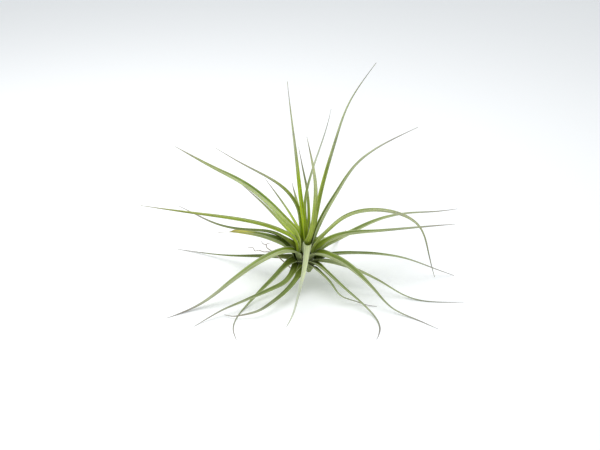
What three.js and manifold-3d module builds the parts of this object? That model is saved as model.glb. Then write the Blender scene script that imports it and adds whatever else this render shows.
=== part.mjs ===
// Air plant, tillandsia concolor: a rosette of stiff channelled leaves on a short stem, with wiry roots.
// It stands on its lower leaves, which arch down to the surface. Millimetres, +Z up, origin on the surface
// below the middle of the plant.
import * as THREE from 'three';
import { mergeVertices } from 'three/addons/utils/BufferGeometryUtils.js';
import Module from 'manifold-3d';

// Stem: it tapers to the growing point
const STEM_BOTTOM = 9.5;
const STEM_TOP = 26;
const STEM_TIP_RADIUS = 0.6;
const STEM_SLOPE = 0.66;
const STEM_FOOT_NARROWING = 0.8;
const STEM_FOOT_HEIGHT = 0.4;
const STEM_CROWN = 0.3;
const STEM_STEP = 2;
const STEM_SIDES = 20;

// Nest of sheaths: each wraps the stem outside the younger ones, and the nest narrows downwards
const CLEARANCE = 0.46;
const SHEATH_THICKNESS = 0.62;
const LAP = SHEATH_THICKNESS + CLEARANCE;
const SHEATH_HALF_WIDTH = 2.4;
const SHEATH_MOST_WRAP = 1.2;
const SHEATH_LEAST_LENGTH = 2;
const SHEATH_PASSING = 0.5;
const MARGIN_ANGLE = 0.04;
const NEST_LEAN = 0.42;
const NEST_LEAN_TOP = 22;
const NEST_LEAN_SOFTNESS = 3;

// Blades
const BLADE_THICKNESS = 0.85;
const TIP_THICKNESS = 0.7;
const TIP_HALF_WIDTH = 0.32;
const YOUNG_FOLD = 1.42;
const OLD_FOLD = 1.05;
const TIP_FOLD = 0.6;
const WIDENING_LENGTH = 14;
const ROLLING_LENGTH = 26;

// A blade narrows late along its length, or soon to a long thin end, or between the two by its lean
const LATE_START_POWER = 2;
const LATE_END_POWER = 1.3;
const SOON_SHARE = 0.68;
const SOON_REACH = 0.36;
const SOON_END_POWER = 6;

// Leaves that lie down are pressed a little into the surface
const FLOOR_PRESS = 0.15;

// Faceting: stations are closer where the leaf bends
const LINE_SAMPLES = 240;
const SEGMENTS = 19;
const BEND_WEIGHT = 9;
const LANES = 4;

// Leaves, youngest first. heading: degrees from +X. mouth: height at which the blade leaves the nest.
// width: half width of the blade. lean: how soon it narrows, from 0 for late to 1 for soon, and below 0
// for later still. roll: turn of the channel about the leaf's line. blade: what its underside runs along,
// as [reach, height, sway].
const LEAVES = [
  { heading: 20, mouth: 30, width: 1.15, blade: [[2.6, 38], [2.6, 46]] },
  {
    heading: 165,
    mouth: 34,
    width: 3.9,
    blade: [[3, 46], [5.5, 66], [7, 86], [9.5, 110], [12.5, 142]],
  },
  {
    heading: -60,
    mouth: 30,
    width: 3.2,
    lean: 0.1,
    blade: [
      [7.5, 35.5, -0.8], [10, 46.5, 0.6], [12, 61, 0.6], [15.5, 78, -1], [19, 95.5, -6],
      [22, 116.5, -12.5],
    ],
  },
  {
    heading: 90,
    mouth: 33,
    width: 1.8,
    blade: [
      [8.3, 42.3, 0.1], [10, 55.5, 1.3], [15, 67.5, -1.6], [24, 80.5, -6.5], [32, 96, -13],
      [38, 111, -17],
    ],
  },
  {
    heading: 0,
    mouth: 33,
    width: 4.8,
    roll: -10,
    blade: [[7, 42], [9, 57], [13, 78], [20, 105], [26, 130], [43, 155]],
  },
  {
    heading: 90,
    mouth: 30,
    width: 2,
    blade: [[7.5, 38.5, -2], [12.5, 48.5, -2], [20, 60, -1], [30, 70, 2], [42, 82, 5]],
  },
  {
    heading: 140,
    mouth: 31,
    width: 3,
    lean: 0.2,
    roll: 10,
    blade: [[5, 43, 1], [7, 55], [20, 65], [38, 68.5], [60, 71.5], [82, 76.5]],
  },
  {
    heading: 15,
    mouth: 28,
    width: 4.9,
    lean: 0.5,
    roll: -12,
    blade: [[8, 36], [14, 50], [23, 65], [32, 82], [48, 94], [76, 105]],
  },
  {
    heading: 99,
    mouth: 28,
    width: 1.9,
    blade: [[7, 36], [13, 44, 2], [24, 48, 2], [42, 46, 1], [70, 43, -1]],
  },
  {
    heading: 176,
    mouth: 28,
    width: 6.6,
    lean: -0.35,
    roll: 12,
    blade: [[6, 35], [14, 43], [27, 59], [43, 73, 0.5], [60, 81], [85, 97]],
  },
  {
    heading: -8,
    mouth: 26,
    width: 4.2,
    lean: -0.35,
    roll: -12,
    blade: [[7, 29], [16, 40], [27, 52], [43, 57], [61, 56], [77, 48], [81.5, 27.5], [87, 10]],
  },
  { heading: 113, mouth: 26, width: 1.8, blade: [[8, 32], [20, 36.5], [40, 41], [75, 46.5, 0.5]] },
  {
    heading: -175,
    mouth: 26,
    width: 4.6,
    lean: -0.4,
    roll: 20,
    blade: [[7, 32], [16, 38], [30, 44.5], [52, 50], [80, 55.5], [108, 62]],
  },
  {
    heading: -95,
    mouth: 25,
    width: 3.5,
    lean: 0.9,
    blade: [
      [5.5, 30.5, 1], [8.5, 31.5, 1.5], [14, 26, 1], [22, 19.5, 0.5], [36, 13.5, -1.5],
      [56, 8, -3], [73, 9.5, -6],
    ],
  },
  {
    heading: 20,
    mouth: 21,
    width: 5.2,
    lean: 0.8,
    roll: -10,
    blade: [[9, 23], [15, 27], [29, 31], [50, 28.5], [80, 26.5], [113, 24]],
  },
  {
    heading: 127,
    mouth: 24,
    width: 2.4,
    roll: 10,
    blade: [[8, 28], [18, 29.5, 0.5], [46, 39], [78, 45.5, 0.5]],
  },
  {
    heading: 149,
    mouth: 22,
    width: 2.8,
    lean: -0.3,
    roll: 10,
    blade: [[8, 24], [17, 27.8], [29, 30.8], [51, 25], [73, 23], [91, 27], [107, 30.5]],
  },
  {
    heading: 32,
    mouth: 19,
    width: 4.6,
    lean: 0.7,
    roll: -10,
    blade: [[8, 20], [17, 22.5], [35, 25.5], [59, 31.5], [86, 29.5], [110, 23.5], [133, 20.5]],
  },
  {
    heading: 161,
    mouth: 19,
    width: 6.4,
    roll: 16,
    blade: [[9, 21.5], [15, 24.5], [30, 28.5], [44, 29], [58, 28.5], [65, 26]],
  },
  {
    heading: -152,
    mouth: 22.5,
    width: 6.2,
    lean: 0.4,
    roll: 20,
    blade: [[8, 24.7], [15, 26.2], [27, 25.4], [42, 20], [58, 12.5], [76, 0.5, -2], [102, 0]],
  },
  {
    heading: -36,
    mouth: 21,
    width: 6,
    lean: 0.85,
    roll: -16,
    blade: [
      [8, 24], [16, 24.5, -0.5], [29, 24], [43, 18.5], [56, 11], [68.5, 2, -1], [84, 0, 2],
      [103, 0],
    ],
  },
  {
    heading: 68,
    mouth: 17,
    width: 3.8,
    lean: 0.7,
    blade: [[9, 20.5], [18, 22], [32, 18], [46, 8], [60, 0], [82, 0]],
  },
  {
    heading: 87,
    mouth: 15.5,
    width: 3.8,
    lean: 0.7,
    blade: [[9, 18], [18, 18.5], [32, 17], [48, 9], [64, 0], [89, 0]],
  },
  {
    heading: 4,
    mouth: 15,
    width: 3.4,
    lean: 0.5,
    roll: -10,
    blade: [[9, 17], [18, 20], [40, 20], [66, 16.5], [84, 8], [103, 0]],
  },
  {
    heading: -38,
    mouth: 16,
    width: 4.6,
    lean: 0.9,
    roll: -8,
    blade: [
      [8, 17.5, 1], [16, 18, 4.5], [32, 15, 11.5], [49, 9, 18], [64.5, 1, 22], [80, 0, 26],
      [99.5, 0, 42],
    ],
  },
  {
    heading: 106,
    mouth: 14.5,
    width: 3.8,
    lean: 0.7,
    blade: [[9, 16], [18, 16], [31, 12.5], [44, 5], [56, 0], [76, 0]],
  },
  {
    heading: -140,
    mouth: 17,
    width: 3.6,
    lean: 0.7,
    roll: 8,
    blade: [
      [9, 19.5], [18, 18.5, 0.5], [27, 12.5, 0.5], [35, 7, -1.5], [51, 0], [64, 0, 6.5],
      [75, 0, 16], [80, 0, 28],
    ],
  },
  {
    heading: -64,
    mouth: 16.5,
    width: 3.2,
    lean: 0.6,
    roll: -8,
    blade: [
      [8, 18, 0.5], [16.5, 19.5, 2], [34, 11.5, 8.5], [49, 5.5, 15.5], [61, 0, 20], [75, 0, 16],
      [84, 0, 7.5],
    ],
  },
  {
    heading: -72,
    mouth: 15.5,
    width: 2.6,
    lean: 0.5,
    blade: [
      [8, 16.5, 0.5], [17.5, 17, 2], [30, 14, 7.5], [37.5, 6.5, 10], [38, 2, 21.5],
      [44, 1, 26.5], [46, 0, 34],
    ],
  },
  {
    heading: 154,
    mouth: 13,
    width: 4,
    lean: 0.7,
    roll: 8,
    blade: [[9, 15], [18, 13.5], [36, 10], [58, 5], [80, 1, -2], [104, 0]],
  },
  {
    heading: -125,
    mouth: 15.5,
    width: 3.1,
    lean: 0.1,
    roll: 8,
    blade: [
      [8, 17.5], [15, 15, 1], [25, 11, 2], [33, 10, -1], [42, 8, -6], [49, 7, -9.5],
      [58, 5.5, -14], [67, 4.5, -18.5], [78, 1, -23.5], [88, 0, -25.5],
    ],
  },
  {
    heading: -113,
    mouth: 14.5,
    width: 2.6,
    lean: 0.1,
    roll: 6,
    blade: [
      [8, 16, 1], [14, 14, 1], [20, 10], [33.5, 7, -2.5], [45, 6, -6], [55, 4.5, -9.5],
      [60, 2.5, -19], [63.5, 2, -24], [62, 1, -31],
    ],
  },
];

// Roots: wiry strands that leave the foot of the stem, rise between the leaves on the left and fork
const ROOT_RADIUS = 0.45;
const ROOT_SIDES = 7;
const ROOT_STEPS_PER_POINT = 3;
const ROOT_TRUNK = [
  [-2.5, 0, 8.2], [-6, -0.2, 8.2], [-9.5, -0.4, 9.7], [-14, -0.8, 14.5], [-18.5, -1, 19], [-23.3, -1.2, 22.8],
  [-25.6, -1.5, 23.5], [-28.4, -1.2, 23.3], [-32, -1.5, 24.7], [-34.4, -1, 23.9], [-35.7, -1.5, 26.6],
  [-39, -1, 26.8],
];
const ROOT_FORK = [
  [-18.5, -1, 19], [-21.8, -0.6, 22.2], [-24.2, -1, 24.6], [-26.2, -1, 26.2], [-26.9, -1, 28.5],
  [-29, -1, 29.5], [-29.8, -1, 31.2],
];
const ROOT_TWIG = [[-26.9, -1, 28.5], [-26, -1.4, 29.6], [-24.4, -1.6, 30.2]];

// Colours
const YOUNG_GREEN = new THREE.Color(0x9fb43a);
const OLD_GREEN = new THREE.Color(0x5f7a45);
const STEM_BROWN = new THREE.Color(0x6b5a3c);
const ROOT_PINK = new THREE.Color(0xa89092);

const radians = THREE.MathUtils.degToRad;

// A smooth line that starts and ends on its first and last point and is drawn to the others between them
class LeafLine extends THREE.Curve {
  constructor(points) {
    super();
    const before = points[0].clone().multiplyScalar(2).sub(points[1]);
    const after = points.at(-1).clone().multiplyScalar(2).sub(points.at(-2));
    this.hull = [before, ...points, after];
  }

  getPoint(t, target = new THREE.Vector3()) {
    const spans = this.hull.length - 3;
    const span = Math.min(Math.floor(t * spans), spans - 1);
    const f = t * spans - span;
    const pulls = [
      (1 - f) ** 3 / 6,
      (3 * f ** 3 - 6 * f ** 2 + 4) / 6,
      (-3 * f ** 3 + 3 * f ** 2 + 3 * f + 1) / 6,
      f ** 3 / 6,
    ];
    target.set(0, 0, 0);
    pulls.forEach((pull, i) => target.addScaledVector(this.hull[span + i], pull));
    return target;
  }
}

// Half of the angle round the stem that a sheath takes
function wrapAngle(radius) {
  return Math.min(SHEATH_HALF_WIDTH / radius, SHEATH_MOST_WRAP);
}

function angleBetween(a, b) {
  const turn = Math.abs(a - b) % 360;
  return radians(Math.min(turn, 360 - turn));
}

// How far the nest is drawn in at a height
function nestInset(height) {
  const below = NEST_LEAN_TOP - height;
  return (NEST_LEAN * (below + Math.hypot(below, NEST_LEAN_SOFTNESS))) / 2;
}

// A sheath's radius is its outer one where the nest isn't drawn in. The stem meets it at its root.
const radiusRootedAt = (height) => STEM_TIP_RADIUS + (STEM_TOP - height) * STEM_SLOPE + LAP;
const rootHeight = (radius) => STEM_TOP - (radius - LAP - STEM_TIP_RADIUS) / STEM_SLOPE;
const stemRadius = (height) => radiusRootedAt(height) - LAP - nestInset(height);

// The radius of each sheath: as close to the stem as the younger sheaths inside it allow. One that is rooted
// above the leaf's mouth doesn't meet it.
function seatSheaths(leaves) {
  const seated = [];
  for (const leaf of leaves) {
    const beside = seated.filter((inner) => rootHeight(inner.radius) < leaf.mouth + SHEATH_PASSING);
    let radius = Math.max(radiusRootedAt(leaf.mouth - SHEATH_LEAST_LENGTH), radiusRootedAt(STEM_TOP));
    let blocking = null;
    do {
      const half = wrapAngle(radius) + MARGIN_ANGLE;
      blocking = beside.find((inner) => {
        const meets = angleBetween(leaf.heading, inner.heading) < half + wrapAngle(inner.radius);
        return meets && radius < inner.radius + LAP;
      });
      radius = blocking ? blocking.radius + LAP : radius;
    } while (blocking);
    seated.push({ lean: 0, roll: 0, ...leaf, radius, age: seated.length / (leaves.length - 1) });
  }
  return seated;
}

// The leaf's line in its own frame: reach along X, sway along Y
function leafLine(leaf) {
  const root = rootHeight(leaf.radius);
  const points = [root, (root + leaf.mouth) / 2, leaf.mouth].map(
    (height) => new THREE.Vector3(leaf.radius - nestInset(height), 0, height),
  );
  for (const [reach, height, sway = 0] of leaf.blade) {
    points.push(new THREE.Vector3(reach, sway, height));
  }
  return new LeafLine(points);
}

// Samples along a line, each with its direction and an up vector carried along without twist
function carriedFrames(line) {
  const points = line.getSpacedPoints(LINE_SAMPLES);
  const frames = [];
  let up = new THREE.Vector3(-1, 0, 0);
  let travelled = 0;
  let measure = 0;
  for (let i = 0; i < points.length; i += 1) {
    const behind = points[Math.max(i - 1, 0)];
    const ahead = points[Math.min(i + 1, points.length - 1)];
    const along = ahead.clone().sub(behind).normalize();
    up = up.clone().addScaledVector(along, -up.dot(along)).normalize();
    if (i > 0) {
      const step = points[i].distanceTo(points[i - 1]);
      travelled += step;
      measure += step + BEND_WEIGHT * along.angleTo(frames[i - 1].along);
    }
    frames.push({ point: points[i], along, up, travelled, measure });
  }
  return frames;
}

// Stations at equal steps of length and bending together
function stations(line) {
  const frames = carriedFrames(line);
  const whole = frames.at(-1).measure;
  const picked = [];
  let next = 1;
  for (let k = 0; k <= SEGMENTS; k += 1) {
    const wanted = (whole * k) / SEGMENTS;
    while (next < frames.length - 1 && frames[next].measure < wanted) {
      next += 1;
    }
    const a = frames[next - 1];
    const b = frames[next];
    const part = (wanted - a.measure) / (b.measure - a.measure);
    const along = a.along.clone().lerp(b.along, part).normalize();
    picked.push({
      point: a.point.clone().lerp(b.point, part),
      along,
      up: a.up.clone().lerp(b.up, part).normalize(),
      travelled: THREE.MathUtils.lerp(a.travelled, b.travelled, part),
    });
  }
  return picked;
}

// Share of the blade's full width along it
function taperAt(blade, lean) {
  const late = (1 - blade ** LATE_START_POWER) ** (LATE_END_POWER + Math.min(lean, 0));
  const bell = Math.exp(-((blade / SOON_REACH) ** 2));
  const soon = SOON_SHARE * bell + (1 - SOON_SHARE) * (1 - blade ** SOON_END_POWER);
  return THREE.MathUtils.lerp(late, soon, Math.max(lean, 0));
}

// Half width, fold and thickness of a leaf at a distance along it
function sectionAt(leaf, travelled, length, sheathLength) {
  const blade = THREE.MathUtils.clamp((travelled - sheathLength) / (length - sheathLength), 0, 1);
  const widening = THREE.MathUtils.smoothstep(travelled - sheathLength, 0, WIDENING_LENGTH);
  const wrap = wrapAngle(leaf.radius);
  const sheathHalf = wrap * (leaf.radius - nestInset(leaf.mouth - Math.max(sheathLength - travelled, 0)));
  const bladeHalf = THREE.MathUtils.lerp(TIP_HALF_WIDTH, leaf.width, taperAt(blade, leaf.lean));
  const openFold = THREE.MathUtils.lerp(YOUNG_FOLD, OLD_FOLD, leaf.age);
  const bladeFold = THREE.MathUtils.lerp(openFold, TIP_FOLD, blade ** 2);
  const bladeThickness = THREE.MathUtils.lerp(BLADE_THICKNESS, TIP_THICKNESS, blade);
  return {
    half: THREE.MathUtils.lerp(sheathHalf, bladeHalf, widening),
    fold: THREE.MathUtils.lerp(wrap, bladeFold, widening),
    thickness: THREE.MathUtils.lerp(SHEATH_THICKNESS, bladeThickness, widening),
  };
}

// A station with its up vector turned by the leaf's roll
function rolled(station, leaf, sheathLength) {
  const share = THREE.MathUtils.smoothstep(station.travelled - sheathLength, 0, ROLLING_LENGTH);
  const up = station.up.clone().applyAxisAngle(station.along, radians(leaf.roll) * share);
  return { ...station, up };
}

// The two faces of the channel at a station, as points across the leaf from one margin to the other
function channel(station, section) {
  const side = station.along.clone().cross(station.up);
  const arcRadius = section.half / section.fold;
  const under = [];
  const upper = [];
  for (let lane = 0; lane <= LANES; lane += 1) {
    const angle = ((2 * lane) / LANES - 1) * section.fold;
    const inward = side.clone().multiplyScalar(-Math.sin(angle)).addScaledVector(station.up, Math.cos(angle));
    const base = station.point
      .clone()
      .addScaledVector(side, arcRadius * Math.sin(angle))
      .addScaledVector(station.up, arcRadius * (1 - Math.cos(angle)));
    const margin = lane === 0 || lane === LANES;
    const low = margin ? section.thickness / 2 : 0;
    const high = margin ? section.thickness / 2 : section.thickness;
    under.push(base.clone().addScaledVector(inward, low));
    upper.push(base.clone().addScaledVector(inward, high));
  }
  return { under, upper };
}

// A closed skin over the channels: both faces split alike, margins shared
function leafGeometry(channels) {
  const positions = [];
  const indices = [];
  const rows = channels.map(({ under, upper }) => {
    const place = (p) => positions.push(p.x, p.y, Math.max(p.z - FLOOR_PRESS, 0)) / 3 - 1;
    const low = under.map(place);
    const high = upper.map((p, lane) => (lane === 0 || lane === LANES ? low[lane] : place(p)));
    return { low, high };
  });
  const cap = ({ low, high }, flip) => {
    for (let lane = 0; lane < LANES; lane += 1) {
      const faces = [[low[lane], low[lane + 1], high[lane + 1]], [low[lane], high[lane + 1], high[lane]]];
      for (const face of faces.filter((f) => new Set(f).size === 3)) {
        indices.push(...(flip ? face.reverse() : face));
      }
    }
  };
  cap(rows[0], false);
  for (let i = 0; i + 1 < rows.length; i += 1) {
    for (let lane = 0; lane < LANES; lane += 1) {
      const [a, b] = [lane, lane + 1];
      const { low, high } = rows[i];
      const { low: lowNext, high: highNext } = rows[i + 1];
      indices.push(low[a], lowNext[b], low[b], low[a], lowNext[a], lowNext[b]);
      indices.push(high[a], high[b], highNext[b], high[a], highNext[b], highNext[a]);
    }
  }
  cap(rows.at(-1), true);
  const geometry = new THREE.BufferGeometry();
  geometry.setAttribute('position', new THREE.Float32BufferAttribute(positions, 3));
  geometry.setIndex(indices);
  return geometry;
}

function buildLeaf(leaf, index) {
  const picked = stations(leafLine(leaf));
  const length = picked.at(-1).travelled;
  const sheathLength = leaf.mouth - rootHeight(leaf.radius);
  const channels = picked.map((station) =>
    channel(rolled(station, leaf, sheathLength), sectionAt(leaf, station.travelled, length, sheathLength)),
  );
  const material = new THREE.MeshStandardMaterial({
    color: YOUNG_GREEN.clone().lerp(OLD_GREEN, leaf.age),
    roughness: 0.62,
    metalness: 0,
  });
  const mesh = new THREE.Mesh(leafGeometry(channels), material);
  mesh.name = `leaf_${String(index + 1).padStart(2, '0')}`;
  mesh.rotation.z = radians(leaf.heading);
  return mesh;
}

function buildStem(outermost) {
  const lowestRoot = rootHeight(outermost);
  const profile = [new THREE.Vector2(0, STEM_BOTTOM)];
  profile.push(new THREE.Vector2(stemRadius(lowestRoot) * STEM_FOOT_NARROWING, STEM_BOTTOM));
  for (let height = lowestRoot - STEM_FOOT_HEIGHT; height < STEM_TOP; height += STEM_STEP) {
    profile.push(new THREE.Vector2(stemRadius(height), height));
  }
  profile.push(new THREE.Vector2(stemRadius(STEM_TOP), STEM_TOP));
  profile.push(new THREE.Vector2(0, STEM_TOP + STEM_CROWN));
  const material = new THREE.MeshStandardMaterial({ color: STEM_BROWN, roughness: 0.85, metalness: 0 });
  const mesh = new THREE.Mesh(new THREE.LatheGeometry(profile, STEM_SIDES), material);
  mesh.name = 'stem';
  mesh.rotation.x = Math.PI / 2;
  return mesh;
}

// A wire along a smooth line through its points
function strand(points) {
  const path = new THREE.CatmullRomCurve3(points.map(([x, y, z]) => new THREE.Vector3(x, y, z)));
  const section = new THREE.Shape();
  for (let side = 0; side < ROOT_SIDES; side += 1) {
    const angle = (2 * Math.PI * side) / ROOT_SIDES;
    const corner = [ROOT_RADIUS * Math.cos(angle), ROOT_RADIUS * Math.sin(angle)];
    if (side === 0) {
      section.moveTo(...corner);
    } else {
      section.lineTo(...corner);
    }
  }
  const steps = ROOT_STEPS_PER_POINT * (points.length - 1);
  const wire = new THREE.ExtrudeGeometry(section, { steps, extrudePath: path, bevelEnabled: false });
  wire.deleteAttribute('normal');
  wire.deleteAttribute('uv');
  return mergeVertices(wire);
}

function toManifold(geometry) {
  return new manifold.Manifold(
    new manifold.Mesh({
      numProp: 3,
      vertProperties: Float32Array.from(geometry.getAttribute('position').array),
      triVerts: Uint32Array.from(geometry.getIndex().array),
    }),
  );
}

function buildRoots() {
  const joined = manifold.Manifold.union([ROOT_TRUNK, ROOT_FORK, ROOT_TWIG].map(strand).map(toManifold));
  const solid = joined.getMesh();
  const geometry = new THREE.BufferGeometry();
  geometry.setAttribute('position', new THREE.BufferAttribute(solid.vertProperties, 3));
  geometry.setIndex(new THREE.BufferAttribute(solid.triVerts, 1));
  const material = new THREE.MeshStandardMaterial({ color: ROOT_PINK, roughness: 0.8, metalness: 0 });
  const mesh = new THREE.Mesh(geometry, material);
  mesh.name = 'roots';
  return mesh;
}

const manifold = await Module();
manifold.setup();

const seated = seatSheaths(LEAVES);
const outermost = Math.max(...seated.map((leaf) => leaf.radius));

const rosette = new THREE.Group();
rosette.add(buildStem(outermost));
rosette.add(buildRoots());
seated.forEach((leaf, index) => rosette.add(buildLeaf(leaf, index)));

// The middle of the plant's reach goes over the origin
const reach = new THREE.Box3().setFromObject(rosette, true);
rosette.position.set(-(reach.min.x + reach.max.x) / 2, -(reach.min.y + reach.max.y) / 2, -reach.min.z);

const plant = new THREE.Group();
plant.add(rosette);
export default plant;
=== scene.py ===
"""Air plant, tillandsia concolor, standing on its lower leaves on a pale studio floor.

Every leaf is a channelled blade that grows from a sheath round the short stem. Lengths of the plant are in
millimetres, counted from the stem's axis, and what Blender gets is in metres.
"""

import logging
import math
from dataclasses import dataclass
from enum import Enum
from typing import Any, Callable

import bpy
import numpy as np
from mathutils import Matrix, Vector


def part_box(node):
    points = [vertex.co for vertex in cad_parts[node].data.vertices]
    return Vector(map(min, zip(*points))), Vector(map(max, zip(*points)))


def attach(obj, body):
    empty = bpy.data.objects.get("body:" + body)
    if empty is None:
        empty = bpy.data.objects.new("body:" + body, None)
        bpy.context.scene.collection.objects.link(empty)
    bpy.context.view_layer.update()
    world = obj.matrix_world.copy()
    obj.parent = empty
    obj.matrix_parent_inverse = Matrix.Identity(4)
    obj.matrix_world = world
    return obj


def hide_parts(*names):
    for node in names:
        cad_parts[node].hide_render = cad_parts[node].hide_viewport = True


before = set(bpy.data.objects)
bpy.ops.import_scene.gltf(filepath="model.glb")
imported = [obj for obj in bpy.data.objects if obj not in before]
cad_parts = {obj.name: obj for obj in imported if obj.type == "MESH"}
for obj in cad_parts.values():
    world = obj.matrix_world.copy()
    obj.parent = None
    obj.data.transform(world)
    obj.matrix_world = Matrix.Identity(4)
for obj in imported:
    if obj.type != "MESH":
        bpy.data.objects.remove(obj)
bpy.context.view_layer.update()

MM = 0.001
LOG = logging.getLogger("air_plant")
Colour = tuple[float, float, float, float]
Array = np.ndarray
Socket = bpy.types.NodeSocket


def srgb(red: int, green: int, blue: int) -> Colour:
    """Turns a colour in display values from 0 to 255 into scene-linear values.

    Args:
        red: Red display value.
        green: Green display value.
        blue: Blue display value.

    Returns:
        The colour, opaque.
    """

    def linear(value: int) -> float:
        """One channel in scene-linear."""
        share = value / 255
        return share / 12.92 if share <= 0.04045 else ((share + 0.055) / 1.055) ** 2.4

    return (linear(red), linear(green), linear(blue), 1.0)


def smooth(value: Array, low: float, high: float) -> Array:
    """Rises from 0 at low to 1 at high with level ends."""
    share = np.clip((value - low) / (high - low), 0.0, 1.0)
    return share * share * (3 - 2 * share)


def lerp(a: Any, b: Any, share: Any) -> Any:
    """Goes from a to b as share goes from 0 to 1."""
    return a + (b - a) * share


class Age(Enum):
    """Where a leaf stands in the rosette. The value is its material slot."""

    HEART = "heart_leaf"
    ARCHING = "arching_leaf"
    LOWER = "lower_leaf"


class Tip(Enum):
    """How a leaf ends."""

    FRESH = "fresh"
    DRY = "dry"
    WITHERED = "withered"


@dataclass(frozen=True)
class LeafForm:
    """Form of one leaf, in millimetres and degrees.

    Attributes:
        heading: Direction from +X.
        mouth: Height at which the blade leaves the nest of sheaths.
        width: Half width of the blade laid flat.
        lean: How soon it narrows, from 0 for late to 1 for soon, and below 0 for later still.
        roll: Turn of the channel about the leaf's line, right-handed outwards.
        look: Name of the leaf's finish.
        tip: How the leaf ends.
        blade: Points that the blade's underside runs along, as reach, height and sway.
    """

    heading: float
    mouth: float
    width: float
    lean: float
    roll: float
    look: str
    tip: Tip
    blade: tuple[tuple[float, ...], ...]


def leaf(heading: float, mouth: float, width: float, lean: float, roll: float, look: str, tip: Tip,
         *blade: tuple[float, ...]) -> LeafForm:
    """Makes a leaf's form from one row of the table."""
    return LeafForm(heading, mouth, width, lean, roll, look, tip, blade)


FRESH, DRY, WITHERED = Tip.FRESH, Tip.DRY, Tip.WITHERED

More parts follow.
